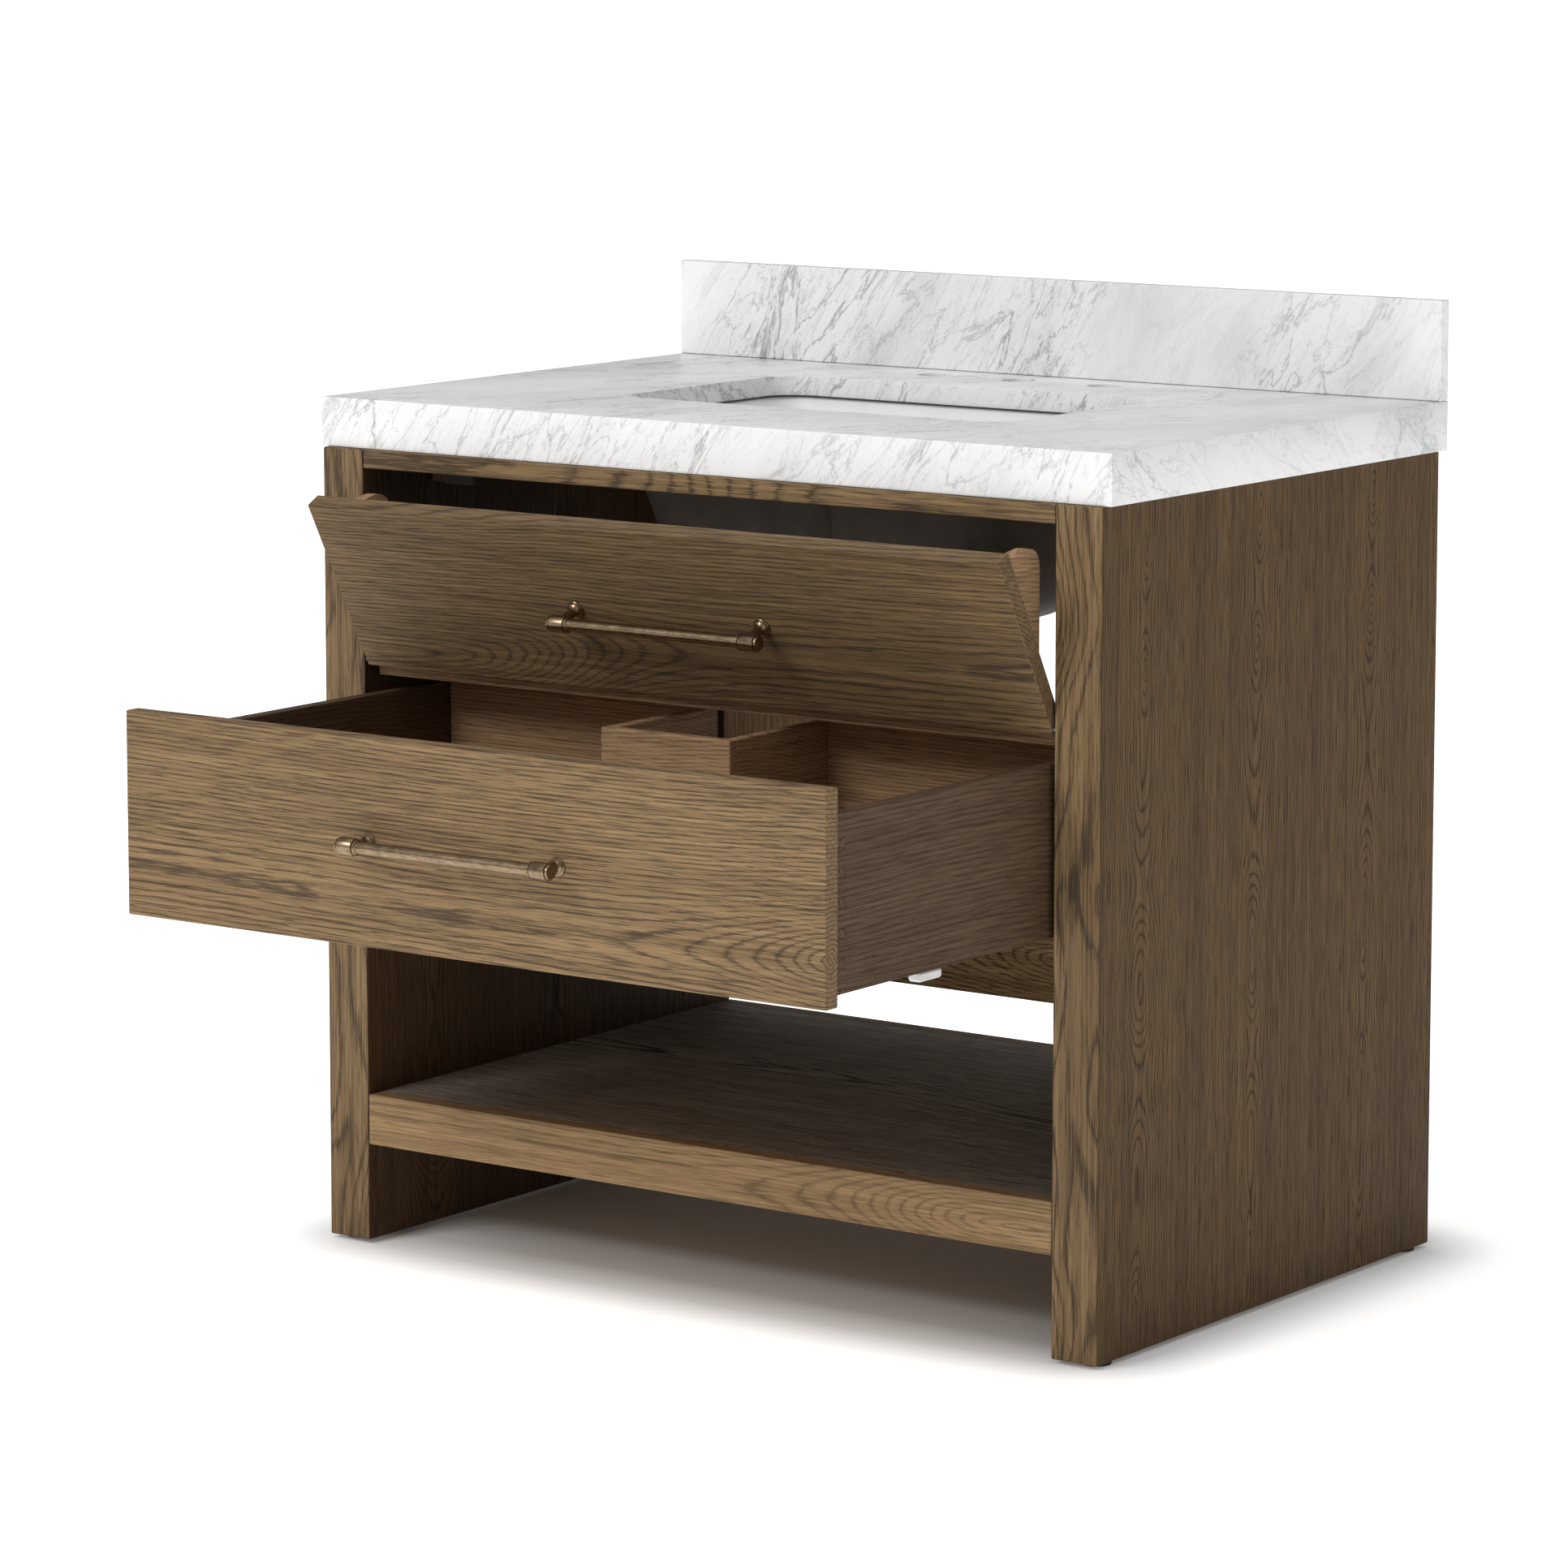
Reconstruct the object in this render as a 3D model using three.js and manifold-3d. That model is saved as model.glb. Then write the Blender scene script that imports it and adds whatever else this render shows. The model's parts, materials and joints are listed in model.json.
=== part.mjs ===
// Bathroom vanity cabinet: two thick side panels carry a stone top with an undermount sink.
// A tip-out front with a small tray sits above one wide drawer, and a box shelf joins the panels below.
// Millimetres, +Z up, +X to the right seen from the front, the front faces -Y.
// Every piece is placed where it stands with drawer and tip-out shut, and the moving groups then open it.
import * as THREE from "three";
import { ConvexGeometry } from "three/addons/geometries/ConvexGeometry.js";
import { mergeVertices } from "three/addons/utils/BufferGeometryUtils.js";
import Module from "manifold-3d";

const wasm = await Module();
wasm.setup();

// ---------------------------------------------------------------- driving dimensions
const GAP = 0.3; // between pieces that touch
const EASE = 0.8; // broken edge on every board

// stone top
const TOP_WIDTH = 914.4;
const TOP_DEPTH = 600;
const TOP_HEIGHT = 836;
const STONE = 20;
const STONE_EDGE = 48;
const SPLASH_HEIGHT = 98;
const SPLASH = 15;
const MITRE_GAP = 0.45; // along an axis, so about 0.3 mm square to the mitre

// cabinet
const SIDE_OVERHANG = 6;
const FRONT_PROUD = 6;
const BACK_INSET = 5;
const PANEL = 50;
const GLIDE_HEIGHT = 4;
const RAIL = 18;
const RAIL_DEPTH = 80;
const SHELF_TOP = 150.5;
const SHELF_HEIGHT = 50;
const SHELF_SKIN = 12;
const SHELF_EDGE = 20;
const REAR_RAIL = 20;
const REAR_RAIL_LOW = 197;
const REAR_RAIL_HIGH = 285;
const BACK = 12;
const BACK_CUTOUT = { halfWidth: 200, low: 400, high: 640 };
const CLEAT = 20;
const CLEAT_HEIGHT = 68;

// fronts
const REVEAL = 3.5;
const SIDE_REVEAL = 2.5;
const FRONT = 18;
const TIPOUT_HEIGHT = 188;
const DRAWER_HEIGHT = 192.5;
const TIPOUT_ANGLE = 28.5; // degrees open
const PIVOT_INSET = 4.5; // pivot from the front face and from the bottom edge
const PIN_RADIUS = 2.4;
const PIN_HOLE = 2.75;
const PIN_DEPTH = 10;
const DRAWER_PULL = 350;

// drawer box
const BOX_DEPTH = 453;
const BOX_SIDE = 14;
const BOX_CLEAR = 6; // from drawer side to cabinet panel
const BOX_LOW = 10; // box bottom edge above the front's bottom edge
const BOX_HEIGHT = 158;
const BOX_FRONT = 15;
const BOTTOM = 8;
const BOTTOM_UP = 20.3; // underside of the bottom above the sides' lower edge
const TAILS = 6;
const TAIL_LENGTH = 11;
const TAIL_FLARE = 2.5;
const NOTCH_WIDTH = 150;
const NOTCH_WALL = 12;
const NOTCH_DEPTH = 169;

// undermount slides
const CHANNEL_LENGTH = 316;
const CHANNEL_BACK = 170; // from the divider rail to the channel, clear of the shut drawer's latch
const MIDDLE_BACK = 36; // from the divider rail to the shut middle rail
const MIDDLE_LENGTH = 400;
const MIDDLE_WIDTH = 22;
const SLIDE_STEEL = 2;
const SLIDE_WIDTH = 50;
const SLIDE_DROP = 6; // channel floor below the drawer sides' lower edge
const RUNNER = 11.5;
const RUNNER_BACK = 4; // from the box front to the runner
const RUNNER_END = 5; // from the runner to the drawer's back edge
const LATCH = 9.5; // how far a slide latch hangs under the drawer side
const LATCH_LENGTH = 35;
const LATCH_BACK = 132; // from the box front to the latch

// pulls
const BAR_LENGTH = 243;
const BAR_CENTRES = 216;
const BAR_RADIUS = 6;
const COLLAR_RADIUS = 8.3;
const COLLAR_LENGTH = 20;
const BAR_OFFSET = 26;
const POST_RADIUS = 4.6;
const ROSETTE_RADIUS = 8.6;

// tip-out tray
const TRAY_BOARD = 12;
const TRAY_FLOOR = 8;
const TRAY_INSET = 19; // from cabinet panel to tray end
const TRAY_REACH = 172; // from the front's lower edge to the ends' curved top
const TRAY_FOOT = 31; // height on the front where the tray starts
const TRAY_ROUND = 22;

// magnetic catch
const CATCH_X = -300;
const MAGNET_WIDTH = 36;
const MAGNET_DEPTH = 23;
const MAGNET_HEIGHT = 12;
const PLATE_WIDTH = 30;
const PLATE_HEIGHT = 7;
const PLATE_DROP = 9; // plate's lower edge below the front's upper edge

// sink and taps
const SINK_Y = 10;
const SINK_HALF_X = 225;
const SINK_HALF_Y = 140;
const SINK_CORNER = 35;
const SINK_WALL = 11;
const SINK_BOTTOM = 627;
const SINK_FLANGE = 22;
const DRAIN_RADIUS = 22.5;
const TAP_Y = 238;
const TAP_SPACING = 101.6;
const TAP_RADIUS = 17.5;

// ---------------------------------------------------------------- derived places
const halfTop = TOP_WIDTH / 2;
const outerX = halfTop - SIDE_OVERHANG;
const innerX = outerX - PANEL;
const stoneFront = -TOP_DEPTH / 2;
const stoneBack = TOP_DEPTH / 2;
const frontY = stoneFront - FRONT_PROUD;
const backY = stoneBack - BACK_INSET;
const stoneUnder = TOP_HEIGHT - STONE;
const woodTop = TOP_HEIGHT - STONE_EDGE - GAP;
const railLow = woodTop - RAIL;
const tipoutTop = railLow - REVEAL;
const tipoutLow = tipoutTop - TIPOUT_HEIGHT;
const drawerTop = tipoutLow - REVEAL;
const drawerLow = drawerTop - DRAWER_HEIGHT;
const frontHalf = innerX - SIDE_REVEAL;
const behindFront = frontY + FRONT + GAP;
const dividerFront = frontY + FRONT + REVEAL;
const dividerLow = drawerTop - REVEAL - 6;
const boxX = innerX - BOX_CLEAR;
const boxInX = boxX - BOX_SIDE;
const boxLow = drawerLow + BOX_LOW;
const boxHigh = boxLow + BOX_HEIGHT;
const boxBack = behindFront + BOX_DEPTH;
const bottomLow = boxLow + BOTTOM_UP;
const wallLow = bottomLow + BOTTOM + GAP;
const notchX = NOTCH_WIDTH / 2;
const notchFront = boxBack - NOTCH_DEPTH;
const pivotY = frontY + PIVOT_INSET;
const pivotZ = tipoutLow + PIVOT_INSET;

// ---------------------------------------------------------------- materials
function material(color, roughness, metalness = 0) {
  return new THREE.MeshStandardMaterial({ color, roughness, metalness });
}
const oak = material(0x8a6a45, 0.6);
const oakInside = material(0x4d3826, 0.65);
const marble = material(0xeceae6, 0.25);
const ceramic = material(0xf4f4f2, 0.12);
const brass = material(0xa9845a, 0.35, 1);
const steel = material(0xa8a8a8, 0.4, 1);
const plastic = material(0xc9c9c6, 0.5);
const rubber = material(0x161616, 0.8);

// ---------------------------------------------------------------- solids
function toSolid(geometry) {
  const bare = new THREE.BufferGeometry();
  bare.setAttribute("position", geometry.getAttribute("position"));
  if (geometry.index) bare.setIndex(geometry.index);
  const merged = mergeVertices(bare, 1e-4);
  return new wasm.Manifold(
    new wasm.Mesh({
      numProp: 3,
      vertProperties: merged.attributes.position.array,
      triVerts: new Uint32Array(merged.index.array),
    }),
  );
}

function toGeometry(solid) {
  const mesh = solid.getMesh();
  const geometry = new THREE.BufferGeometry();
  geometry.setAttribute("position", new THREE.BufferAttribute(mesh.vertProperties, 3));
  geometry.setIndex(new THREE.BufferAttribute(mesh.triVerts, 1));
  return geometry;
}

function hull(points) {
  return new ConvexGeometry(points.map((p) => new THREE.Vector3(...p)));
}

// A board between two corners with its edges broken.
function boardGeometry([x0, x1], [y0, y1], [z0, z1], ease = EASE) {
  const points = [];
  for (const [x, inX] of [[x0, x0 + ease], [x1, x1 - ease]])
    for (const [y, inY] of [[y0, y0 + ease], [y1, y1 - ease]])
      for (const [z, inZ] of [[z0, z0 + ease], [z1, z1 - ease]])
        points.push([x, inY, inZ], [inX, y, inZ], [inX, inY, z]);
  return hull(points);
}

function piece(name, look, geometry) {
  const mesh = new THREE.Mesh(geometry, look);
  mesh.name = name;
  return mesh;
}

function board(name, look, xs, ys, zs, ease) {
  return piece(name, look, boardGeometry(xs, ys, zs, ease));
}

// The same board on the left (side -1) or the right (side 1), from distances to the middle.
function sideBoard(name, look, side, [near, far], ys, zs, ease) {
  const xs = side < 0 ? [-far, -near] : [near, far];
  return board(name + (side < 0 ? "_left" : "_right"), look, xs, ys, zs, ease);
}

// An outline in X and Y, extruded from z0 to z1.
function plate(shape, z0, z1, curveSegments = 12) {
  const geometry = new THREE.ExtrudeGeometry(shape, {
    depth: z1 - z0,
    bevelEnabled: false,
    curveSegments,
  });
  return geometry.translate(0, 0, z0);
}

// An outline in Y and Z, extruded from x0 to x1.
function crossPlate(shape, x0, x1, curveSegments = 12) {
  const turn = new THREE.Matrix4().makeBasis(
    new THREE.Vector3(0, 1, 0),
    new THREE.Vector3(0, 0, 1),
    new THREE.Vector3(1, 0, 0),
  );
  return plate(shape, x0, x1, curveSegments).applyMatrix4(turn);
}

function polygon(points) {
  return new THREE.Shape(points.map(([a, b]) => new THREE.Vector2(a, b)));
}

function rodAlongX(radius, x0, x1, y, z, sides = 24) {
  const rod = new THREE.CylinderGeometry(radius, radius, x1 - x0, sides);
  return rod.rotateZ(Math.PI / 2).translate((x0 + x1) / 2, y, z);
}

// Points round a rectangle with rounded corners, always the same count, so that rings can be joined.
const CORNER_STEPS = 10;
function roundedRing(halfX, halfY, radius, z, centreY) {
  const points = [];
  for (let corner = 0; corner < 4; corner++) {
    const sx = corner === 0 || corner === 3 ? 1 : -1;
    const sy = corner < 2 ? 1 : -1;
    for (let i = 0; i <= CORNER_STEPS; i++) {
      const angle = ((corner + i / CORNER_STEPS) * Math.PI) / 2;
      points.push([
        sx * (halfX - radius) + radius * Math.cos(angle),
        centreY + sy * (halfY - radius) + radius * Math.sin(angle),
        z,
      ]);
    }
  }
  return points;
}

// A solid through a stack of rings, from the top ring down, closed at both ends.
function loft(rings) {
  const count = rings[0].length;
  const positions = rings.flat(2);
  const index = [];
  for (let r = 0; r + 1 < rings.length; r++)
    for (let i = 0; i < count; i++) {
      const a = r * count + i;
      const b = r * count + ((i + 1) % count);
      index.push(a, a + count, b, b, a + count, b + count);
    }
  const last = (rings.length - 1) * count;
  for (let i = 1; i + 1 < count; i++) {
    index.push(0, i, i + 1);
    index.push(last, last + i + 1, last + i);
  }
  const geometry = new THREE.BufferGeometry();
  geometry.setAttribute("position", new THREE.Float32BufferAttribute(positions, 3));
  geometry.setIndex(index);
  return toSolid(geometry);
}

// ---------------------------------------------------------------- stone top
function slab() {
  const outline = hull([-halfTop, halfTop].flatMap((x) =>
    [stoneFront, stoneBack].flatMap((y) => [
      [x, y, TOP_HEIGHT],
      [x - Math.sign(x) * STONE, y - Math.sign(y) * STONE, stoneUnder],
    ]),
  ));
  const cutouts = loft([
    roundedRing(SINK_HALF_X, SINK_HALF_Y, SINK_CORNER, TOP_HEIGHT + 5, SINK_Y),
    roundedRing(SINK_HALF_X, SINK_HALF_Y, SINK_CORNER, stoneUnder - 5, SINK_Y),
  ]);
  let solid = toSolid(outline).subtract(cutouts);
  for (const x of [-TAP_SPACING, 0, TAP_SPACING]) {
    const bore = new THREE.CylinderGeometry(TAP_RADIUS, TAP_RADIUS, 2 * STONE + 10, 32);
    bore.rotateX(Math.PI / 2).translate(x, TAP_Y, TOP_HEIGHT - STONE / 2);
    solid = solid.subtract(toSolid(bore));
  }
  return piece("countertop_slab", marble, toGeometry(solid));
}

// One mitred edge strip; it is drawn for the front and turned or stretched to the other sides.
function apron(name, halfLength, distance, angle) {
  const outer = halfLength - MITRE_GAP;
  const inner = outer - STONE;
  const low = TOP_HEIGHT - STONE_EDGE;
  const points = [];
  for (const side of [-1, 1])
    points.push(
      [side * outer, -distance, low],
      [side * outer, -distance, TOP_HEIGHT - MITRE_GAP],
      [side * inner, STONE - distance, low],
      [side * inner, STONE - distance, stoneUnder - MITRE_GAP],
    );
  return piece(name, marble, hull(points).rotateZ(angle));
}

function stoneTop() {
  const quarter = Math.PI / 2;
  const splashLow = TOP_HEIGHT + GAP;
  const splashHigh = TOP_HEIGHT + SPLASH_HEIGHT;
  return [
    slab(),
    apron("apron_front", halfTop, stoneBack, 0),
    apron("apron_right", stoneBack, halfTop, quarter),
    apron("apron_back", halfTop, stoneBack, 2 * quarter),
    apron("apron_left", stoneBack, halfTop, 3 * quarter),
    board("backsplash", marble, [-halfTop, halfTop], [stoneBack - SPLASH, stoneBack],
      [splashLow, splashHigh]),
  ];
}

// ---------------------------------------------------------------- sink
function sinkBasin() {
  const rim = stoneUnder - GAP;
  // Each level: how far the wall stands in from the rim's line, corner radius and height.
  const levels = [
    [-2, 37, rim],
    [3, 42, rim - 40],
    [12, 54, SINK_BOTTOM + 36],
    [19, 60, SINK_BOTTOM + 18],
    [33, 60, SINK_BOTTOM + 7],
    [54, 56, SINK_BOTTOM + 3],
  ];
  const ring = (grow, [inset, radius, z], drop) =>
    roundedRing(SINK_HALF_X - inset + grow, SINK_HALF_Y - inset + grow, radius + grow, z - drop, SINK_Y);
  const drainPad = (radius, z) => roundedRing(radius, radius, radius, z, SINK_Y);
  const inner = loft([
    ring(0, [levels[0][0], levels[0][1], rim + 5], 0),
    ...levels.map((level) => ring(0, level, 0)),
    drainPad(DRAIN_RADIUS + 14, SINK_BOTTOM),
  ]);
  const outer = loft([
    ring(SINK_FLANGE, levels[0], 0),
    ring(SINK_FLANGE, levels[0], SINK_WALL),
    ring(SINK_WALL, levels[0], SINK_WALL),
    ring(SINK_WALL, levels[1], 0),
    ring(SINK_WALL, levels[2], 0),
    ...levels.slice(3).map((level) => ring(SINK_WALL * 0.8, level, SINK_WALL)),
    drainPad(DRAIN_RADIUS + 26, SINK_BOTTOM - SINK_WALL - 1),
  ]);
  // The overflow channel stands out of the front wall.
  const wallY = SINK_Y - SINK_HALF_Y;
  const channel = loft([
    roundedRing(36, 26, 25, rim - SINK_WALL, wallY),
    roundedRing(36, 26, 25, SINK_BOTTOM + 60, wallY + 4),
    roundedRing(24, 10, 9, SINK_BOTTOM + 14, wallY + 16),
  ]);
  const drain = new THREE.CylinderGeometry(DRAIN_RADIUS, DRAIN_RADIUS, 60, 40);
  drain.rotateX(Math.PI / 2).translate(0, SINK_Y, SINK_BOTTOM);
  const solid = outer.add(channel).subtract(inner).subtract(toSolid(drain));
  return piece("sink_basin", ceramic, toGeometry(solid));
}

// A bent steel clip: its foot is on the stone and its tongue holds the flange up.
function sinkClip(name, x, side) {
  const flangeY = SINK_Y + side * (SINK_HALF_Y + 2 + SINK_FLANGE);
  const under = stoneUnder - GAP;
  const tongue = under - SINK_WALL - GAP;
  const across = (distance) => flangeY + side * distance;
  const outline = polygon([
    [across(2), under],
    [across(26), under],
    [across(26), under - 3],
    [across(5), under - 3],
    [across(5), tongue - 3],
    [across(-9), tongue - 3],
    [across(-9), tongue],
    [across(2), tongue],
  ]);
  return piece(name, steel, crossPlate(outline, x - 12, x + 12));
}

function sink() {
  const clips = [];
  for (const [place, side] of [["front", -1], ["back", 1]])
    for (const [hand, x] of [["left", -150], ["right", 150]])
      clips.push(sinkClip(`sink_clip_${place}_${hand}`, x, side));
  return [sinkBasin(), ...clips];
}

// ---------------------------------------------------------------- cabinet
function sidePanel(side) {
  const blank = sideBoard("side_panel", oak, side, [innerX, outerX], [frontY, backY],
    [GLIDE_HEIGHT, woodTop], 1.2);
  const ends = side < 0 ? [-innerX - PIN_DEPTH - 1, -innerX + 1] : [innerX - 1, innerX + PIN_DEPTH + 1];
  const bore = rodAlongX(PIN_HOLE, ...ends, pivotY, pivotZ);
  blank.geometry = toGeometry(toSolid(blank.geometry).subtract(toSolid(bore)));
  return blank;
}

function backPanel() {
  const { halfWidth, low, high } = BACK_CUTOUT;
  const blank = boardGeometry([GAP - innerX, innerX - GAP], [backY - BACK, backY],
    [REAR_RAIL_HIGH + GAP, woodTop]);
  const opening = boardGeometry([-halfWidth, halfWidth], [backY - 2 * BACK, backY + BACK], [low, high], 0.1);
  return piece("back_panel", oakInside, toGeometry(toSolid(blank).subtract(toSolid(opening))));
}

function boxShelf() {
  const wide = [GAP - innerX, innerX - GAP];
  const low = SHELF_TOP - SHELF_HEIGHT;
  const between = [frontY + SHELF_EDGE + GAP, backY - SHELF_EDGE - GAP];
  return [
    board("shelf_front_edge", oak, wide, [frontY, frontY + SHELF_EDGE], [low, SHELF_TOP]),
    board("shelf_back_edge", oak, wide, [backY - SHELF_EDGE, backY], [low, SHELF_TOP]),
    board("shelf_top_board", oakInside, wide, between, [SHELF_TOP - SHELF_SKIN, SHELF_TOP], 0.3),
    board("shelf_bottom_board", oakInside, wide, between, [low, low + SHELF_SKIN], 0.3),
  ];
}

function glide(name, x, y) {
  const disc = new THREE.CylinderGeometry(14, 14, GLIDE_HEIGHT - GAP, 32);
  return piece(name, rubber, disc.rotateX(Math.PI / 2).translate(x, y, (GLIDE_HEIGHT - GAP) / 2));
}

function glides() {
  const made = [];
  for (const [place, y] of [["front", frontY + 26], ["back", backY - 26]])
    for (const [hand, x] of [["left", -outerX + 17], ["right", outerX - 17]])
      made.push(glide(`glide_${place}_${hand}`, x, y));
  return made;
}

function hingePin(side) {
  const far = innerX + PIN_DEPTH;
  const near = frontHalf - PIN_DEPTH;
  const ends = side < 0 ? [-far, -near] : [near, far];
  const name = side < 0 ? "hinge_pin_left" : "hinge_pin_right";
  return piece(name, steel, rodAlongX(PIN_RADIUS, ...ends, pivotY, pivotZ));
}

// The bent channel of one undermount slide, screwed to the panel.
function slideChannel(side) {
  const floor = boxLow - SLIDE_DROP;
  const wall = innerX - GAP;
  const inner = wall - SLIDE_WIDTH;
  const outline = polygon([
    [side * wall, floor],
    [side * wall, floor + 40],
    [side * (wall - SLIDE_STEEL), floor + 40],
    [side * (wall - SLIDE_STEEL), floor + SLIDE_STEEL],
    [side * (inner + SLIDE_STEEL), floor + SLIDE_STEEL],
    [side * (inner + SLIDE_STEEL), floor + 8],
    [side * inner, floor + 8],
    [side * inner, floor],
  ]);
  const turn = new THREE.Matrix4().makeRotationX(Math.PI / 2);
  const start = dividerFront + CHANNEL_BACK;
  const geometry = plate(outline, -start - CHANNEL_LENGTH, -start).applyMatrix4(turn);
  return piece(side < 0 ? "slide_channel_left" : "slide_channel_right", steel, geometry);
}

function cabinet() {
  const wide = [GAP - innerX, innerX - GAP];
  const cleatTop = stoneUnder - GAP;
  const parts = [
    board("top_rail_front", oak, wide, [frontY, frontY + RAIL_DEPTH], [railLow, woodTop]),
    board("divider_rail", oakInside, wide, [dividerFront, dividerFront + RAIL_DEPTH],
      [dividerLow, dividerLow + RAIL]),
    board("rear_rail_lower", oak, wide, [backY - REAR_RAIL, backY], [REAR_RAIL_LOW, REAR_RAIL_HIGH]),
    backPanel(),
    board("catch_magnet", rubber, [CATCH_X - MAGNET_WIDTH / 2, CATCH_X + MAGNET_WIDTH / 2],
      [dividerFront + 1, dividerFront + 1 + MAGNET_DEPTH], [railLow - MAGNET_HEIGHT, railLow - GAP]),
    ...boxShelf(),
    ...glides(),
  ];
  for (const side of [-1, 1])
    parts.push(
      sidePanel(side),
      hingePin(side),
      slideChannel(side),
      sideBoard("top_cleat", oakInside, side, [innerX - GAP - CLEAT, innerX - GAP], [-200, 260],
        [cleatTop - CLEAT_HEIGHT, cleatTop]),
    );
  return parts;
}

// ---------------------------------------------------------------- bar pull
// The bar with its end collars, turned about its own length.
function pullBar() {
  const half = BAR_LENGTH / 2;
  const end = [
    [0, half],
    [COLLAR_RADIUS - 1.6, half],
    [COLLAR_RADIUS - 0.9, half - 0.7],
    [COLLAR_RADIUS - 0.9, half - 2],
    [COLLAR_RADIUS - 1.5, half - 2.2],
    [COLLAR_RADIUS - 1.5, half - 2.8],
    [COLLAR_RADIUS, half - 3.4],
    [COLLAR_RADIUS, half - COLLAR_LENGTH],
    [COLLAR_RADIUS - 0.7, half - COLLAR_LENGTH - 0.8],
    [BAR_RADIUS + 0.9, half - COLLAR_LENGTH - 1],
    [BAR_RADIUS + 0.9, half - COLLAR_LENGTH - 3],
    [BAR_RADIUS, half - COLLAR_LENGTH - 3.8],
  ];
  const start = end.map(([r, x]) => [r, -x]);
  const profile = [...start, ...end.reverse()].map(([r, x]) => new THREE.Vector2(r, x));
  return new THREE.LatheGeometry(profile, 24).rotateZ(-Math.PI / 2);
}

// A round foot and stem that stands on a front at y and is scooped where it meets the collar.
function pullPost(x, y, z) {
  const profile = [
    [0, 0],
    [ROSETTE_RADIUS, 0],
    [ROSETTE_RADIUS, 1.6],
    [ROSETTE_RADIUS - 0.6, 2.2],
    [ROSETTE_RADIUS - 1.6, 2.3],
    [ROSETTE_RADIUS - 1.8, 3.6],
    [POST_RADIUS + 0.9, 4.6],
    [POST_RADIUS, 6.4],
    [POST_RADIUS, BAR_OFFSET],
    [0, BAR_OFFSET],
  ].map(([r, up]) => new THREE.Vector2(r, up));
  const stem = new THREE.LatheGeometry(profile, 24).rotateX(Math.PI).translate(x, y - GAP, z);
  const collar = rodAlongX(COLLAR_RADIUS + GAP, x - 15, x + 15, y - BAR_OFFSET, z, 32);
  return toGeometry(toSolid(stem).subtract(toSolid(collar)));
}

// A whole pull on a front whose face is at y, with its bar level with z.
function pull(prefix, y, z) {
  const bar = piece(`${prefix}_pull_bar`, brass, pullBar().translate(0, y - BAR_OFFSET, z));
  const posts = [["left", -1], ["right", 1]].map(([hand, side]) =>
    piece(`${prefix}_pull_post_${hand}`, brass, pullPost((side * BAR_CENTRES) / 2, y, z)),
  );
  return [bar, ...posts];
}

// ---------------------------------------------------------------- drawer
// Dovetail tails along the front end of a drawer side, as [y, z] points from top to bottom.
function tailPoints(start, grow) {
  const pitch = BOX_HEIGHT / TAILS;
  const points = [];
  for (let i = 0; i < TAILS; i++) {
    const middle = boxHigh - (i + 0.5) * pitch;
    const root = pitch * 0.3 + grow;
    points.push(
      [[start, middle + root], [start - TAIL_LENGTH - grow, middle + root + TAIL_FLARE]],
      [[start - TAIL_LENGTH - grow, middle - root - TAIL_FLARE], [start, middle - root]],
    );
  }
  return points;
}

function drawerSide(side) {
  const start = behindFront + BOX_FRONT + GAP;
  const tails = tailPoints(start, 0).flat();
  const outline = polygon([
    [start, boxHigh],
    ...tails,
    [start, boxLow],
    [boxBack, boxLow],
    [boxBack, boxHigh],
  ]);
  const ends = side < 0 ? [-boxX, -boxInX] : [boxInX, boxX];
  return piece(side < 0 ? "drawer_side_left" : "drawer_side_right", oakInside, crossPlate(outline, ...ends));
}

function drawerBoxFront() {
  const ends = [behindFront, behindFront + BOX_FRONT];
  let solid = toSolid(boardGeometry([-boxX, boxX], ends, [boxLow, boxHigh], 0.2));
  const tails = tailPoints(behindFront + BOX_FRONT + GAP, GAP);
  for (let i = 0; i < tails.length; i += 2) {
    const outline = polygon([...tails[i], ...tails[i + 1]]);
    for (const side of [-1, 1]) {
      const near = side * (boxInX - GAP);
      const far = side * (boxX + 1);
      solid = solid.subtract(toSolid(crossPlate(outline, Math.min(near, far), Math.max(near, far))));
    }
  }
  return piece("drawer_box_front", oakInside, toGeometry(solid));
}

// The bottom is one panel with a bay cut in from the back for the waste pipe.
function drawerBottom() {
  const edge = boxInX - GAP;
  const bay = notchX - NOTCH_WALL;
  const front = behindFront + BOX_FRONT + GAP;
  const bayFront = notchFront + NOTCH_WALL;
  const outline = polygon([
    [-edge, front],
    [edge, front],
    [edge, boxBack],
    [bay, boxBack],
    [bay, bayFront],
    [-bay, bayFront],
    [-bay, boxBack],
    [-edge, boxBack],
  ]);
  return piece("drawer_bottom", oakInside, plate(outline, bottomLow, bottomLow + BOTTOM));
}

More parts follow.
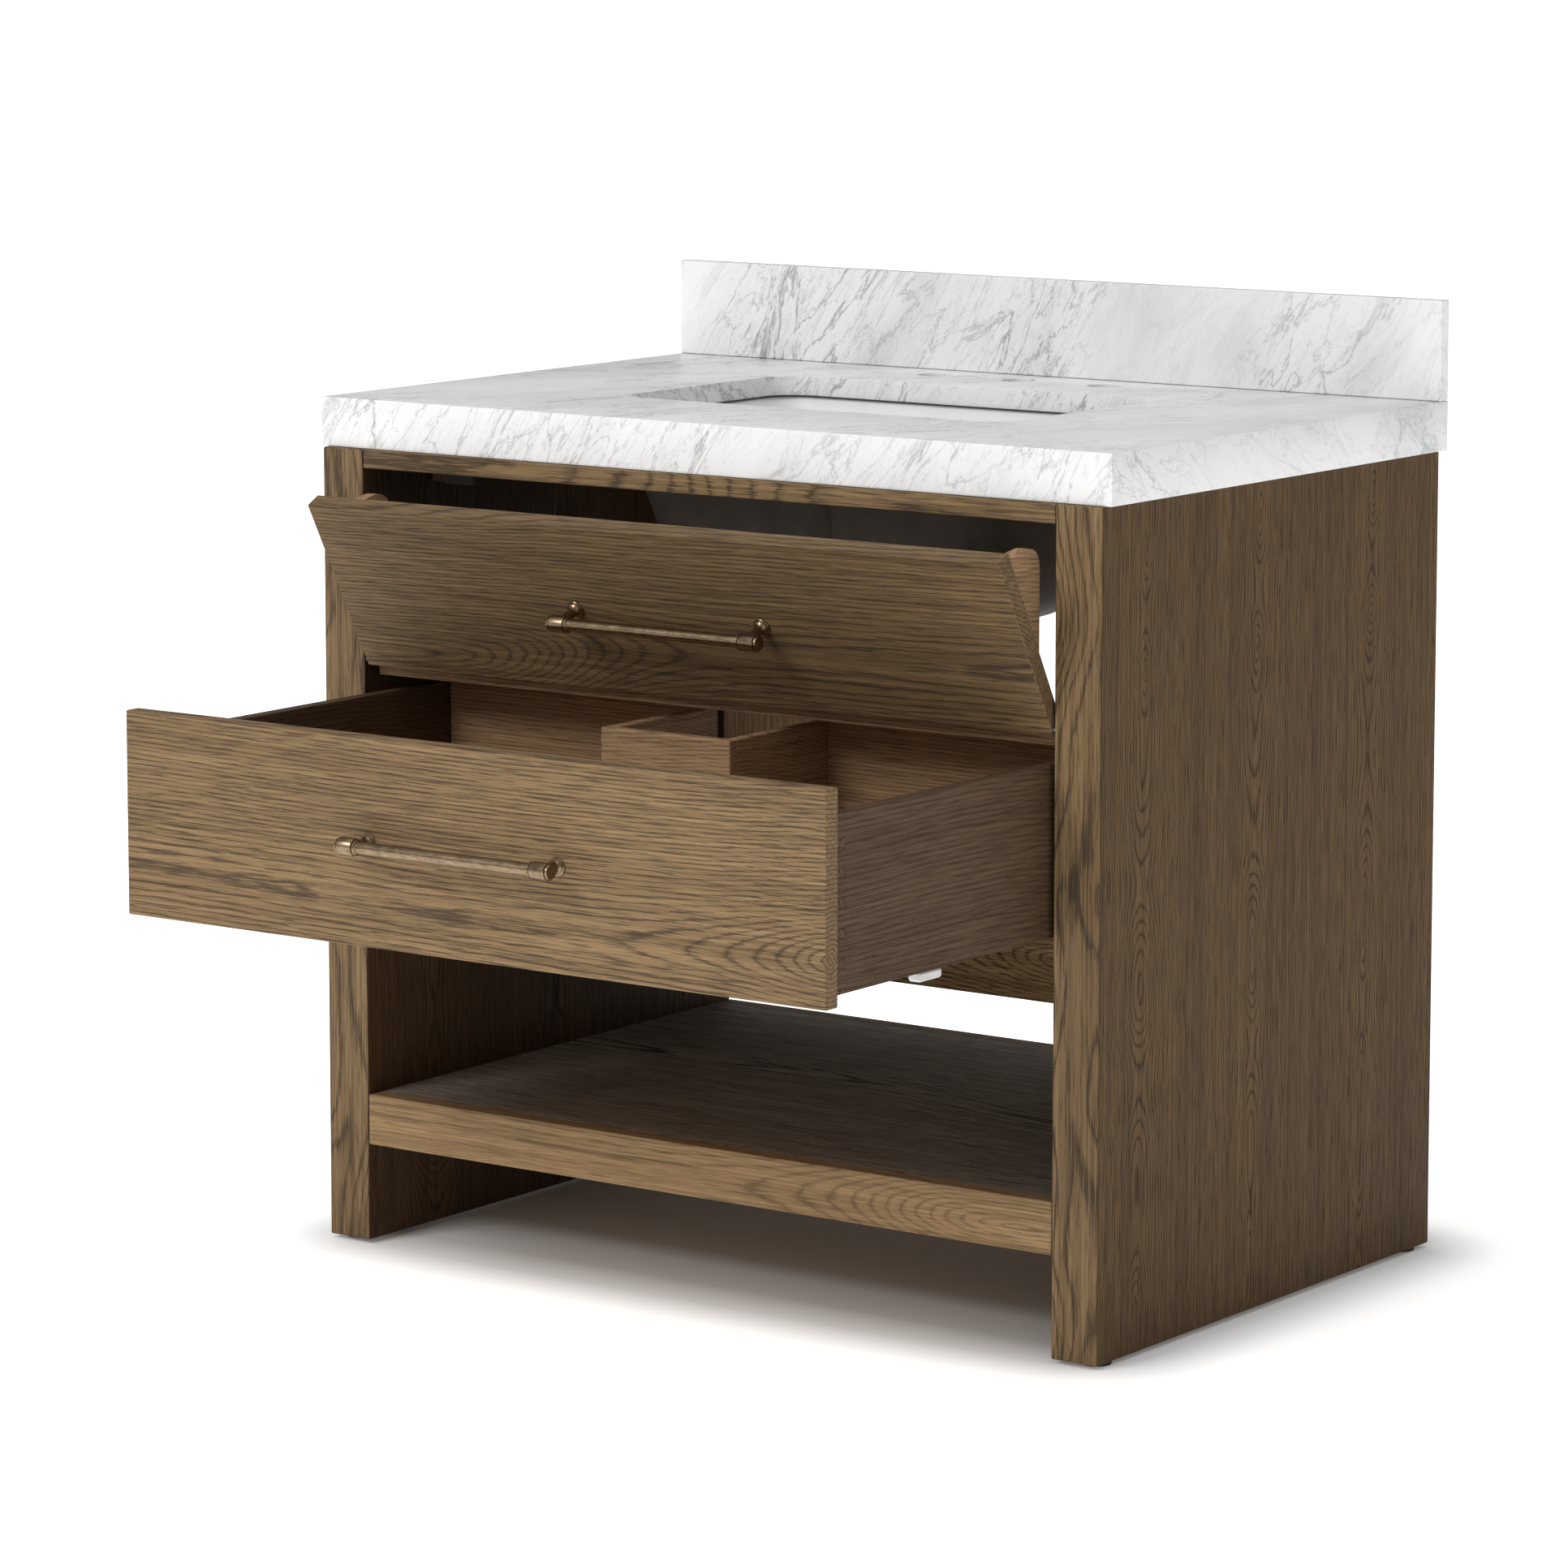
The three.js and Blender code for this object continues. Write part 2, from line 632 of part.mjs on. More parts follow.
function drawer() {
  const face = drawerLow + DRAWER_HEIGHT / 2;
  const memberLow = bottomLow - GAP - RUNNER;
  const member = [innerX - SLIDE_WIDTH + 4, boxInX - GAP];
  const latch = behindFront + LATCH_BACK;
  const parts = [
    board("drawer_front", oak, [-frontHalf, frontHalf], [frontY, frontY + FRONT], [drawerLow, drawerTop], 1),
    drawerBoxFront(),
    drawerBottom(),
    board("notch_front", oakInside, [-notchX, notchX], [notchFront, notchFront + NOTCH_WALL],
      [wallLow, boxHigh]),
    ...pull("drawer", frontY, face),
  ];
  for (const side of [-1, 1])
    parts.push(
      drawerSide(side),
      sideBoard("drawer_back", oakInside, side, [notchX + GAP, boxInX - GAP], [boxBack - BOX_SIDE, boxBack],
        [wallLow, boxHigh]),
      sideBoard("notch_side", oakInside, side, [notchX - NOTCH_WALL, notchX],
        [notchFront + NOTCH_WALL + GAP, boxBack], [wallLow, boxHigh]),
      sideBoard("slide_runner", steel, side, member,
        [behindFront + BOX_FRONT + RUNNER_BACK, boxBack - RUNNER_END],
        [memberLow, bottomLow - GAP], 0.4),
      sideBoard("slide_latch", plastic, side, [boxInX - 2, boxX - 2], [latch, latch + LATCH_LENGTH],
        [boxLow - LATCH, boxLow - GAP], 2),
    );
  return parts;
}

// The middle rail of a slide runs half as far as the drawer.
function slideMiddle(side) {
  const start = dividerFront + MIDDLE_BACK;
  const near = innerX - SLIDE_WIDTH + 5;
  const low = boxLow - SLIDE_DROP + SLIDE_STEEL + 1.5;
  return sideBoard("slide_middle", steel, side, [near, near + MIDDLE_WIDTH], [start, start + MIDDLE_LENGTH],
    [low, bottomLow - GAP - RUNNER - 1], 0.6);
}

// ---------------------------------------------------------------- tip-out
function tipoutFront() {
  const zs = [tipoutLow, tipoutTop];
  let solid = toSolid(boardGeometry([-frontHalf, frontHalf], [frontY, frontY + FRONT], zs, 1));
  for (const side of [-1, 1]) {
    const deep = side * (frontHalf - PIN_DEPTH - 1);
    const out = side * (frontHalf + 1);
    const bore = rodAlongX(PIN_HOLE, Math.min(deep, out), Math.max(deep, out), pivotY, pivotZ);
    solid = solid.subtract(toSolid(bore));
  }
  return piece("tipout_front", oak, toGeometry(solid));
}

// The tray is a wedge: its back edge leans by the opening angle, so it stands upright when the front is open.
const lean = THREE.MathUtils.degToRad(TIPOUT_ANGLE);
const trayFoot = new THREE.Vector2(FRONT + GAP, TRAY_FOOT);
const trayRise = new THREE.Vector2(Math.sin(lean), Math.cos(lean));

// A point up the tray's back edge, moved towards the front by inset. It holds the distance behind the face
// of the front and the height above its lower edge.
function trayBack(along, inset = 0) {
  return trayFoot
    .clone()
    .addScaledVector(trayRise, along)
    .add(new THREE.Vector2(-trayRise.y * inset, trayRise.x * inset));
}

// How far up the back edge the curved top of the ends is met.
function trayLength() {
  const shadow = trayFoot.dot(trayRise);
  return Math.sqrt(shadow ** 2 - trayFoot.lengthSq() + TRAY_REACH ** 2) - shadow;
}

function traySide(side) {
  const corner = trayBack(trayLength());
  const cornerAngle = corner.angle();
  const topAngle = Math.acos(trayFoot.x / TRAY_REACH);
  const turned = TRAY_ROUND / TRAY_REACH;
  const before = trayBack(trayLength() - TRAY_ROUND);
  const after = new THREE.Vector2(TRAY_REACH, 0).rotateAround(new THREE.Vector2(), cornerAngle + turned);
  const outline = new THREE.Shape();
  outline.moveTo(trayFoot.x, trayFoot.y);
  outline.lineTo(before.x, before.y);
  outline.quadraticCurveTo(corner.x, corner.y, after.x, after.y);
  outline.absarc(0, 0, TRAY_REACH, cornerAngle + turned, topAngle, false);
  const far = innerX - TRAY_INSET;
  const near = far - TRAY_BOARD;
  const ends = side < 0 ? [-far, -near] : [near, far];
  const geometry = crossPlate(outline, ...ends, 10).translate(0, frontY, tipoutLow);
  return piece(side < 0 ? "tray_side_left" : "tray_side_right", oakInside, geometry);
}

function trayFloor() {
  const inside = innerX - TRAY_INSET - TRAY_BOARD - GAP;
  const start = TRAY_FLOOR / Math.tan(lean) + GAP;
  const end = trayLength() - TRAY_ROUND - 6;
  const points = [trayBack(start), trayBack(end), trayBack(end, TRAY_FLOOR), trayBack(start, TRAY_FLOOR)];
  const outline = polygon(points.map((p) => [p.x, p.y]));
  return piece("tray_floor", oakInside, crossPlate(outline, -inside, inside).translate(0, frontY, tipoutLow));
}

function tipout() {
  const plateLow = tipoutTop - PLATE_DROP;
  const plateX = [CATCH_X - PLATE_WIDTH / 2, CATCH_X + PLATE_WIDTH / 2];
  return [
    tipoutFront(),
    traySide(-1),
    traySide(1),
    trayFloor(),
    board("catch_plate", steel, plateX, [behindFront, behindFront + 1], [plateLow, plateLow + PLATE_HEIGHT], 0.2),
    ...pull("tipout", frontY, tipoutLow + TIPOUT_HEIGHT / 2),
  ];
}

// ---------------------------------------------------------------- assembly
function groupOf(meshes) {
  const group = new THREE.Group();
  group.add(...meshes);
  return group;
}

const drawerGroup = groupOf(drawer());
drawerGroup.position.y = -DRAWER_PULL;

const middleGroup = groupOf([slideMiddle(-1), slideMiddle(1)]);
middleGroup.position.y = -DRAWER_PULL / 2;

// The tip-out turns about its pins: the pieces are set back from the pivot, then the pivot turns.
const tipoutPieces = groupOf(tipout());
tipoutPieces.position.set(0, -pivotY, -pivotZ);
const tipoutGroup = new THREE.Group();
tipoutGroup.add(tipoutPieces);
tipoutGroup.position.set(0, pivotY, pivotZ);
tipoutGroup.rotation.x = THREE.MathUtils.degToRad(TIPOUT_ANGLE);

// The origin is on the floor, midway between the open drawer's pull and the back of the stone.
const vanity = new THREE.Group();
vanity.add(groupOf([...stoneTop(), ...sink(), ...cabinet()]), drawerGroup, middleGroup, tipoutGroup);
const foremost = frontY - DRAWER_PULL - BAR_OFFSET - COLLAR_RADIUS;
vanity.position.y = -(foremost + stoneBack) / 2;

export default vanity;
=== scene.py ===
# Looks of the bathroom vanity cabinet: brushed oak, white veined marble, glazed sink and aged brass pulls.
# Metres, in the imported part's own frame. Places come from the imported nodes' boxes.
import json
import math

import bmesh
import bpy
from mathutils import Matrix, Vector


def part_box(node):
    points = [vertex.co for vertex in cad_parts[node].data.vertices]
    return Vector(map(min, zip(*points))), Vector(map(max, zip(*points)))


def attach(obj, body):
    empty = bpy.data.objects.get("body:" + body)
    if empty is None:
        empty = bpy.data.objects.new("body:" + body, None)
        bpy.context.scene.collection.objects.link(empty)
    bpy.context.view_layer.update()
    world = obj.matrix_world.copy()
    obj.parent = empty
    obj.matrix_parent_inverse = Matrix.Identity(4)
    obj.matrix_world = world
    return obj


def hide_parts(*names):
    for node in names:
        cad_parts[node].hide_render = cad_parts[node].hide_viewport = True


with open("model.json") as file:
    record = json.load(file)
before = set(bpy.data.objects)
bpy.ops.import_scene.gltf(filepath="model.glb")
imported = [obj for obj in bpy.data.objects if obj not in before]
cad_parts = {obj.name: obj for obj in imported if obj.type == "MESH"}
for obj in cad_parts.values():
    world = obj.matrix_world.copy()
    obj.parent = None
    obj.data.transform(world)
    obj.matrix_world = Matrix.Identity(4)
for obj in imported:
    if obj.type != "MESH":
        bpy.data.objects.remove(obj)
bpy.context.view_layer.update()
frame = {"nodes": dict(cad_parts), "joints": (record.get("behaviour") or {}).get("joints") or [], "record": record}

NODES = frame["nodes"]
MM = 0.001

# Stone: sink cut-out, tap holes and eased arrises.
CUT_HALF_X = 0.225
CUT_HALF_Y = 0.140
CUT_CORNER = 0.035
TAP_SPACING = 0.1016
TAP_RADIUS = 0.0175
TAP_SETBACK = 0.062
ARRIS = 1.1 * MM

# Sink: a bowl with a flange under the stone, and how much less deep than long it is.
FLANGE = 22 * MM
SINK_WALL = 11 * MM
SINK_TURN = 46 * MM
SINK_NARROWER = 85 * MM
DRAIN_RADIUS = 22.5 * MM

# Pulls: the bar's standing height, the stem's stop short of it, and the screws' distance behind it.
PULL_STAND = 25.9 * MM
STEM_END = 7.6 * MM
SCREW_BEHIND = {"drawer": 59.4 * MM, "tipout": 44.1 * MM}

# Side panels: distances of the inner and the outer face from the cabinet's middle plane, and the painted shade on
# both faces.
PANEL_FACES = (0.402, 0.4505)
# Painted shade: the inner faces lie in the cabinet's shade and the outer faces turn away from the key lamp.
INNER_PAINTED_SHADE = (0.34, 0.26, 0.17)
OUTER_PAINTED_SHADE = (0.54, 0.465, 0.32)
PANEL_LEAF = 0.2

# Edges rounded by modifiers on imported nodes.
WOOD_EDGE = 0.5 * MM
OTHER_EDGE = 0.3 * MM
WOODEN = ("side_", "drawer_front", "tipout_front", "top_rail", "shelf", "rear", "notch", "tray")

# Photographer's view and floor.
CAMERA_PLACE = (3.3893, -4.6764, 1.4059)
CAMERA_PITCH = 0.133
CAMERA_YAW = 0.624
LENS = 140.9
SENSOR = 36
FLOOR_REACH = 60
SURROUND_STRENGTH = 0.44


# ---------------------------------------------------------------- shader helpers
class Shader:
    """One procedural material. Each method adds a node and returns its output socket."""

    def __init__(self, name):
        self.material = bpy.data.materials.new(name)
        self.material.use_nodes = True
        self.tree = self.material.node_tree
        self.surface = self.tree.nodes["Principled BSDF"]
        self.position = self.add("ShaderNodeTexCoord").outputs["Object"]

    def add(self, kind, **settings):
        node = self.tree.nodes.new(kind)
        for key, value in settings.items():
            setattr(node, key, value)
        return node

    def put(self, socket, value):
        if isinstance(value, bpy.types.NodeSocket):
            self.tree.links.new(value, socket)
        elif value is not None:
            socket.default_value = value

    def math(self, operation, a, b=None):
        node = self.add("ShaderNodeMath", operation=operation)
        self.put(node.inputs[0], a)
        self.put(node.inputs[1], b)
        return node.outputs[0]

    def scaled(self, vector, scale, offset=(0, 0, 0)):
        node = self.add("ShaderNodeMapping")
        self.put(node.inputs["Vector"], vector)
        node.inputs["Scale"].default_value = scale
        node.inputs["Location"].default_value = offset
        return node.outputs[0]

    def along(self, vector, direction, scale):
        node = self.add("ShaderNodeVectorMath", operation="DOT_PRODUCT")
        self.put(node.inputs[0], vector)
        node.inputs[1].default_value = tuple(c * scale for c in direction)
        return node.outputs["Value"]

    def noise(self, vector, scale, detail=2.0, roughness=0.5, distortion=0.0):
        node = self.add("ShaderNodeTexNoise")
        self.put(node.inputs["Vector"], vector)
        node.inputs["Scale"].default_value = scale
        node.inputs["Detail"].default_value = detail
        node.inputs["Roughness"].default_value = roughness
        node.inputs["Distortion"].default_value = distortion
        return node.outputs["Fac"]

    def ramp(self, value, stops):
        node = self.add("ShaderNodeValToRGB")
        self.put(node.inputs[0], value)
        elements = node.color_ramp.elements
        while len(elements) < len(stops):
            elements.new(0.5)
        for element, (place, color) in zip(elements, stops):
            element.position = place
            element.color = (*color, 1) if hasattr(color, "__len__") else (color, color, color, 1)
        return node.outputs[0]

    def mix(self, amount, a, b, blend="MIX"):
        node = self.add("ShaderNodeMix", data_type="RGBA", blend_type=blend)
        self.put(node.inputs["Factor"], amount)
        for socket, value in ((node.inputs[6], a), (node.inputs[7], b)):
            self.put(socket, (*value, 1) if isinstance(value, tuple) else value)
        return node.outputs[2]

    def bump(self, height, distance, strength=1.0):
        node = self.add("ShaderNodeBump")
        self.put(node.inputs["Height"], height)
        node.inputs["Distance"].default_value = distance
        node.inputs["Strength"].default_value = strength
        self.put(self.surface.inputs["Normal"], node.outputs[0])

    def finish(self, color, roughness, metallic=0.0, **more):
        self.put(self.surface.inputs["Base Color"], color)
        self.put(self.surface.inputs["Roughness"], roughness)
        self.surface.inputs["Metallic"].default_value = metallic
        for key, value in more.items():
            self.surface.inputs[key.replace("_", " ")].default_value = value
        return self.material


# ---------------------------------------------------------------- materials
# Oak: growth rings per metre and how far ripples bend them, then the sizes of the arches in metres.
RINGS = 260.0
RING_RIPPLE = 1.5
HEART_LEAN = 0.05
LEAF_BOW = 0.14
ARCH_TAPER = 0.035
ARCH_LENGTH = 0.12
BRUSHED_DEPTH = 0.00025


def oak(name, grain, light, dark, pore, seed=0.0, arches=1.0, contrast=1.0, centre=(0, 0, 0), sides=None,
        leaf=0.0):
    """Wire-brushed oak with its grain along one axis: growth rings, cathedral arches and open pores.

    Solid boards show their arches at the centre; a veneered panel repeats them from leaf to leaf.

    sides holds the distances from the cabinet's middle plane of a panel's inner and outer face, which get
    painted shade that draws them darker than its edges.
    """
    s = Shader(name)
    split = s.add("ShaderNodeSeparateXYZ")
    shifted = s.add("ShaderNodeVectorMath", operation="SUBTRACT")
    s.put(shifted.inputs[0], s.position)
    shifted.inputs[1].default_value = centre
    s.put(split.inputs[0], shifted.outputs[0])
    turned = s.add("ShaderNodeCombineXYZ")
    first = "XYZ".index(grain)
    for i in range(3):
        s.put(turned.inputs[i], split.outputs[(first + i) % 3])
    across = s.add("ShaderNodeVectorMath", operation="ADD")
    s.put(across.inputs[0], turned.outputs[0])
    across.inputs[1].default_value = (seed * 1.7, 0, 0)
    place = across.outputs[0]
    # The board is cut beside the heart of a tapering trunk, so its rings run out in long pointed arches.
    wander = s.noise(s.scaled(place, (1.1, 2.0, 2.0), (seed, seed, 0)), 1.0, 1.0, 0.4)
    ripple = s.noise(s.scaled(place, (6, 34, 34), (0, seed, seed)), 1.0, 3.0, 0.55)
    parts = s.add("ShaderNodeSeparateXYZ")
    s.put(parts.inputs[0], turned.outputs[0])
    lean = s.math("MULTIPLY", s.math("SUBTRACT", wander, 0.5), HEART_LEAN * arches)
    if leaf:
        bow = s.noise(s.scaled(place, (4.5, 0.6, 0.6), (seed, 0, 0)), 1.0, 1.0, 0.5)
        taper = s.math("MULTIPLY", s.math("SUBTRACT", bow, 0.5), LEAF_BOW * arches)
    else:
        run = s.math("TANH", s.math("DIVIDE", parts.outputs["X"], ARCH_LENGTH))
        taper = s.math("MULTIPLY", run, ARCH_TAPER * arches)
    wide = s.math("ADD", parts.outputs["Y"], taper)
    deep = s.math("ADD", parts.outputs["Z"], lean)
    if leaf:
        deep = s.math("SUBTRACT", s.math("PINGPONG", deep, leaf), leaf / 2)
    radius = s.math("SQRT", s.math("ADD", s.math("MULTIPLY", wide, wide), s.math("MULTIPLY", deep, deep)))
    rings = s.math("ADD", s.math("MULTIPLY", radius, RINGS), s.math("MULTIPLY", ripple, RING_RIPPLE))
    wave = s.math("FRACT", rings)
    early = s.ramp(wave, [(0.0, 1.0), (0.22, 0.15), (0.7, 0.0), (0.92, 0.5), (1.0, 1.0)])
    # Pores are short dashes along the grain, thick in the early wood.
    dashes = s.noise(s.scaled(place, (24, 900, 900), (seed, 0, 0)), 1.0, 3.0, 0.65)
    fine = s.noise(s.scaled(place, (30, 1500, 1500), (0, 0, seed)), 1.0, 1.0, 0.5)
    streaks = s.noise(s.scaled(place, (2.2, 260, 260), (0, seed, 0)), 1.0, 4.0, 0.72)
    broad = s.noise(s.scaled(place, (1.2, 14, 14), (seed, 0, seed)), 1.0, 2.0, 0.5)
    threshold = s.math("ADD", dashes, s.math("MULTIPLY", early, 0.20))
    pores = s.ramp(threshold, [(0.54, 0.0), (0.68, 1.0)])
    tone = s.math("ADD", s.math("MULTIPLY", streaks, 0.8), s.math("MULTIPLY", broad, 0.2))
    tone = s.math("ADD", tone, s.math("MULTIPLY", early, -0.05 * contrast))
    tone = s.math("ADD", tone, s.math("MULTIPLY", s.math("SUBTRACT", fine, 0.5), 0.25))
    body = s.ramp(tone, [(0.30, dark), (0.66, light)])
    color = s.mix(s.math("MULTIPLY", pores, 0.8 * contrast), body, pore)
    if sides:
        across_panel = s.add("ShaderNodeSeparateXYZ")
        s.put(across_panel.inputs[0], s.position)
        reach = s.math("ABSOLUTE", across_panel.outputs["X"])
        inside = s.math("LESS_THAN", reach, sides[0])
        outside = s.math("GREATER_THAN", reach, sides[1])
        # Painted shade: the panel's inner and outer faces are darkened against its edges.
        color = s.mix(inside, color, s.mix(1.0, color, INNER_PAINTED_SHADE, "MULTIPLY"))
        color = s.mix(outside, color, s.mix(1.0, color, OUTER_PAINTED_SHADE, "MULTIPLY"))
    height = s.math("SUBTRACT", s.math("MULTIPLY", streaks, 0.5), pores)
    s.bump(height, BRUSHED_DEPTH, 0.5)
    rough = s.math("ADD", 0.62, s.math("MULTIPLY", pores, 0.2))
    return s.finish(color, rough, Specular_IOR_Level=0.2)


# Marble: the veins' scale, half width, strength and darkness, from broad to fine.
VEINS = ((2.6, 0.012, 0.85, 0.22), (6.5, 0.016, 0.7, 0.28), (15.0, 0.022, 0.4, 0.36))
MARBLE_CLOUDS = [(0.30, (0.65, 0.655, 0.66)), (0.46, (0.76, 0.76, 0.76)), (0.68, (0.80, 0.80, 0.795))]


def marble():
    """White honed marble clouded with grey and crossed by many feathery veins on the slant."""
    s = Shader("marble")
    # The veins lie in leaning sheets, so they cross every face on the slant.
    across = Vector((0.78, -0.36, -0.51)).normalized()
    up = Vector((0.55, 0.0, 0.84)).normalized()
    back = across.cross(up).normalized()
    sheets = s.add("ShaderNodeCombineXYZ")
    s.put(sheets.inputs[0], s.along(s.position, across, 5.5))
    s.put(sheets.inputs[1], s.along(s.position, up, 1.3))
    s.put(sheets.inputs[2], s.along(s.position, back, 1.6))
    flow = sheets.outputs[0]
    cloud = s.noise(flow, 3.0, 6.0, 0.62, 0.5)
    region = s.noise(flow, 1.3, 2.0, 0.5)
    color = s.ramp(cloud, MARBLE_CLOUDS)
    for scale, width, strength, tint in VEINS:
        vein = s.noise(flow, scale, 8.0, 0.60, 0.7)
        line = s.math("ABSOLUTE", s.math("SUBTRACT", vein, 0.5))
        thread = s.ramp(line, [(0.0, 1.0), (width * 0.45, 0.4), (width, 0.0)])
        patch = s.ramp(region, [(0.38, 0.2), (0.58, 1.0)])
        amount = s.math("MULTIPLY", s.math("MULTIPLY", thread, patch), strength)
        color = s.mix(amount, color, (tint, tint * 1.02, tint * 1.06))
    rough = s.math("ADD", 0.28, s.math("MULTIPLY", cloud, 0.12))
    return s.finish(color, rough, Specular_IOR_Level=0.35)


def glaze():
    s = Shader("ceramic_glaze")
    drift = s.noise(s.position, 14.0, 2.0)
    color = s.ramp(drift, [(0.3, (0.83, 0.83, 0.825)), (0.7, (0.88, 0.88, 0.875))])
    s.bump(s.noise(s.position, 60.0, 1.0), 0.0002, 0.15)
    return s.finish(color, 0.12, Coat_Weight=0.5, Coat_Roughness=0.03)


def brass():
    """Aged brushed brass: fine scratches along the bar and darker, rougher patches."""
    s = Shader("aged_brass")
    brushed = s.noise(s.scaled(s.position, (120, 2600, 2600)), 1.0, 2.0, 0.6)
    patch = s.noise(s.position, 90.0, 3.0, 0.6)
    worn = s.math("ADD", s.math("MULTIPLY", brushed, 0.8), s.math("MULTIPLY", patch, 0.3))
    color = s.ramp(worn, [
        (0.35, (0.11, 0.075, 0.045)),
        (0.55, (0.23, 0.165, 0.10)),
        (0.75, (0.38, 0.29, 0.19)),
    ])
    return s.finish(color, s.ramp(patch, [(0.3, 0.27), (0.7, 0.34)]), metallic=1.0)


def steel():
    s = Shader("zinc_steel")
    grain = s.noise(s.scaled(s.position, (900, 40, 900)), 1.0, 2.0, 0.6)
    spangle = s.noise(s.position, 70.0, 2.0)
    color = s.ramp(spangle, [(0.3, (0.42, 0.43, 0.44)), (0.7, (0.58, 0.58, 0.58))])
    s.bump(grain, 0.0001, 0.4)
    return s.finish(color, s.ramp(grain, [(0.3, 0.32), (0.7, 0.48)]), metallic=1.0)


def moulded(name, low, high, roughness):
    """Plastic, rubber, sealant or unglazed ceramic with a fine leathery texture."""
    s = Shader(name)
    grain = s.noise(s.position, 900.0, 2.0)
    color = s.ramp(s.noise(s.position, 60.0, 2.0), [(0.3, low), (0.7, high)])
    s.bump(grain, 0.00015, 0.35)
    return s.finish(color, roughness)


FRONT_LIGHT = (0.275, 0.177, 0.085)
FRONT_DARK = (0.105, 0.063, 0.028)
PORE = (0.038, 0.028, 0.019)
# Inside oak is pale, and lifted further as painted light where the cabinet's inside lies in shade.
INSIDE_PALE_WITH_PAINTED_LIGHT = (0.46, 0.29, 0.158)
INSIDE_DEEP_WITH_PAINTED_LIGHT = (0.24, 0.146, 0.076)
INSIDE_PORE = (0.020, 0.012, 0.008)
# The shelf top's grey oak is lifted as painted light, since the shelf lies in shade under the cabinet.
GREY_PALE_WITH_PAINTED_LIGHT = (0.33, 0.285, 0.240)
GREY_DEEP_WITH_PAINTED_LIGHT = (0.13, 0.110, 0.092)
# Painted shade: the drawer's sides are drawn dark because they face away from the key lamp.
DRAWER_SIDE_PALE_PAINTED_SHADE = (0.112, 0.066, 0.033)
DRAWER_SIDE_DEEP_PAINTED_SHADE = (0.052, 0.029, 0.014)
# Painted shade: the inner face of the drawer box's front is drawn dark where the drawer front shades it.
DRAWER_INNER_PALE_PAINTED_SHADE = (0.130, 0.078, 0.040)
DRAWER_INNER_DEEP_PAINTED_SHADE = (0.060, 0.034, 0.017)


# shade scales the oak's colours: on the tip-out, the shelf edges and the rear rail, lifting them is painted light
# and darkening them painted shade.
def front_oak(name, grain, seed, centre=(0, 0, 0), arches=1.0, shade=1.0, **more):
    light = tuple(c * shade for c in FRONT_LIGHT)
    dark = tuple(c * shade for c in FRONT_DARK)
    return oak(name, grain, light, dark, PORE, seed, arches, centre=centre, **more)


def inside_oak(name, grain, seed):
    return oak(name, grain, INSIDE_PALE_WITH_PAINTED_LIGHT, INSIDE_DEEP_WITH_PAINTED_LIGHT, INSIDE_PORE, seed, contrast=0.6)


def middle(node):
    low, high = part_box(node)
    return (low + high) / 2


